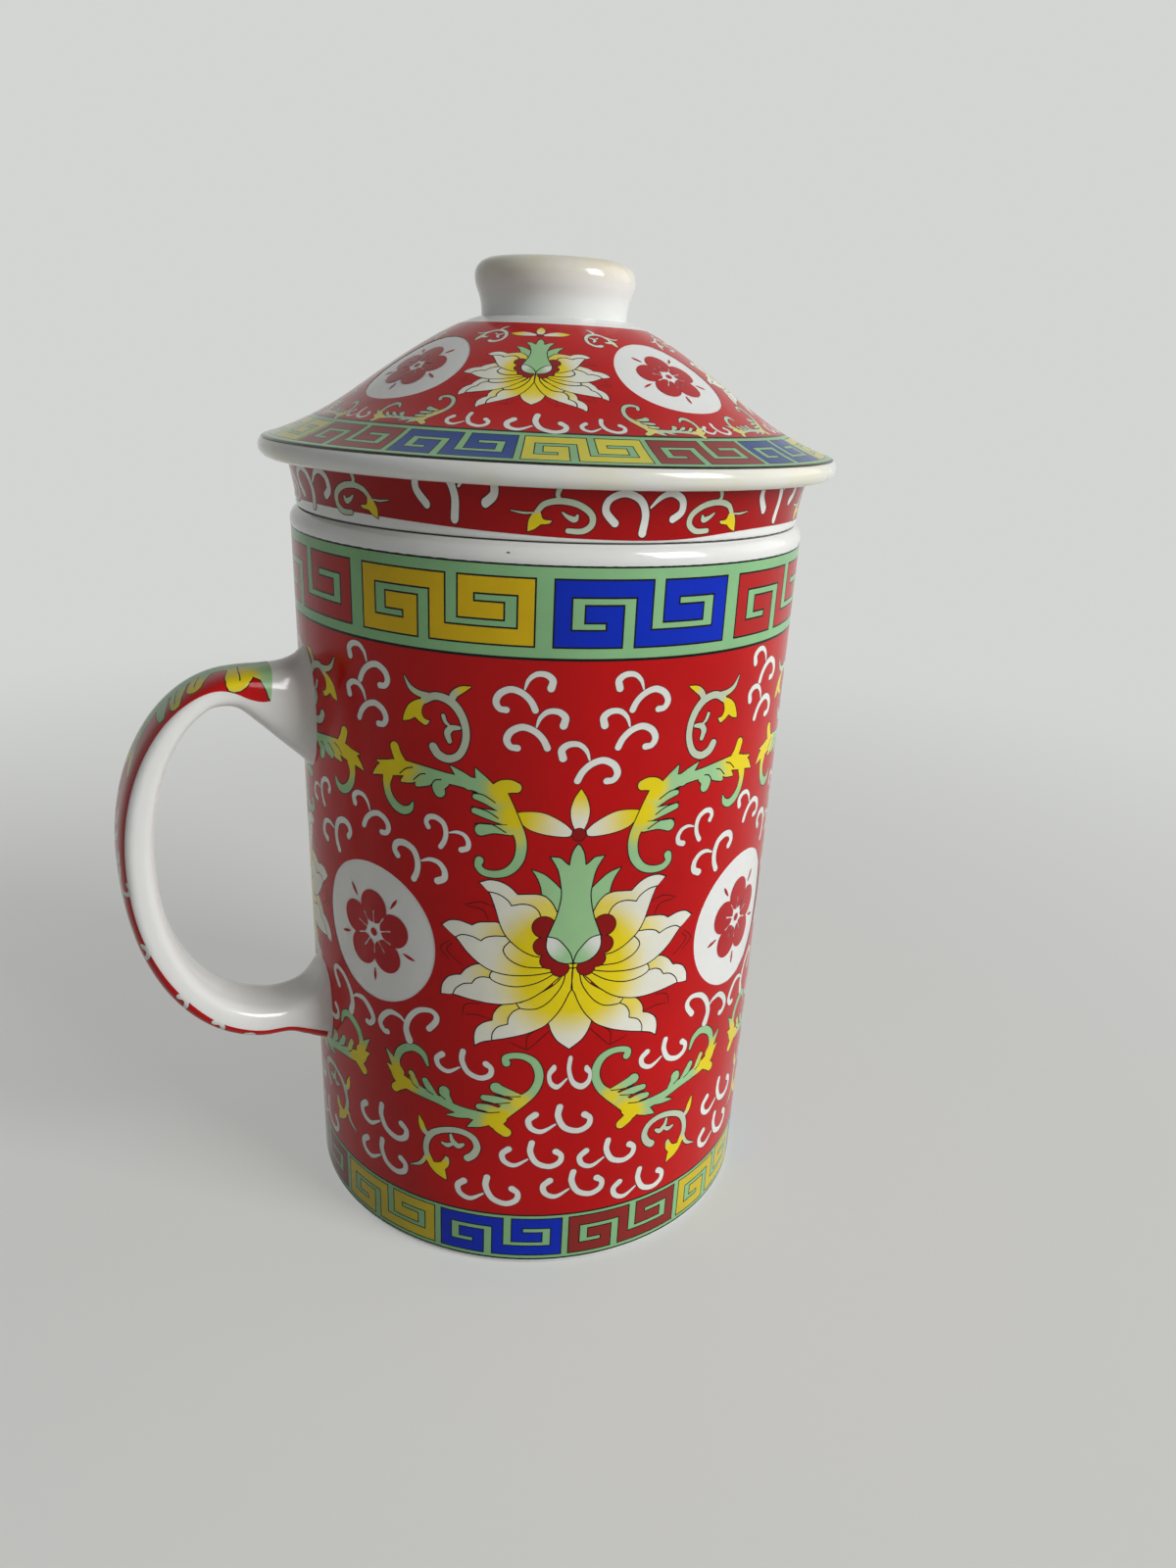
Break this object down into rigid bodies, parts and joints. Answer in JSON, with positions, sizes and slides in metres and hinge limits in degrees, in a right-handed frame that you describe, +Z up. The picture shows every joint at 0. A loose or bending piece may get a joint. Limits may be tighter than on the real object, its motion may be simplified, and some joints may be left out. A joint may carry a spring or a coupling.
{
  "type": "lidded tea mug with infuser",
  "caption": "Tall porcelain mug with a loop handle, a pierced drop-in infuser that hangs on the rim by a collar, and a lift-off conical lid with a dished ring knob.",
  "frame": {"origin": "centre of the foot ring, on the surface that the mug stands on", "axes": "+Z up along the axis of the mug, -X towards the handle, +Y completes the right-handed frame"},
  "size_m": [0.106, 0.083, 0.1429],
  "materials": {
    "porcelain": "clear gloss glaze over white porcelain, with overglaze enamel bands and flowers"
  },
  "bodies": {
    "mug": {"mug_body": "porcelain", "mug_handle": "porcelain"},
    "infuser": {"infuser": "porcelain"},
    "lid": {"lid_shell": "porcelain", "lid_knob": "porcelain"}
  },
  "joints": [
    {"name": "infuser_lift", "type": "slide", "parent": "mug", "child": "infuser", "axis": [0, 0, 1], "range_m": [0, 0.085]},
    {"name": "lid_lift", "type": "slide", "parent": "infuser", "child": "lid", "axis": [0, 0, 1], "range_m": [0, 0.05]}
  ]
}
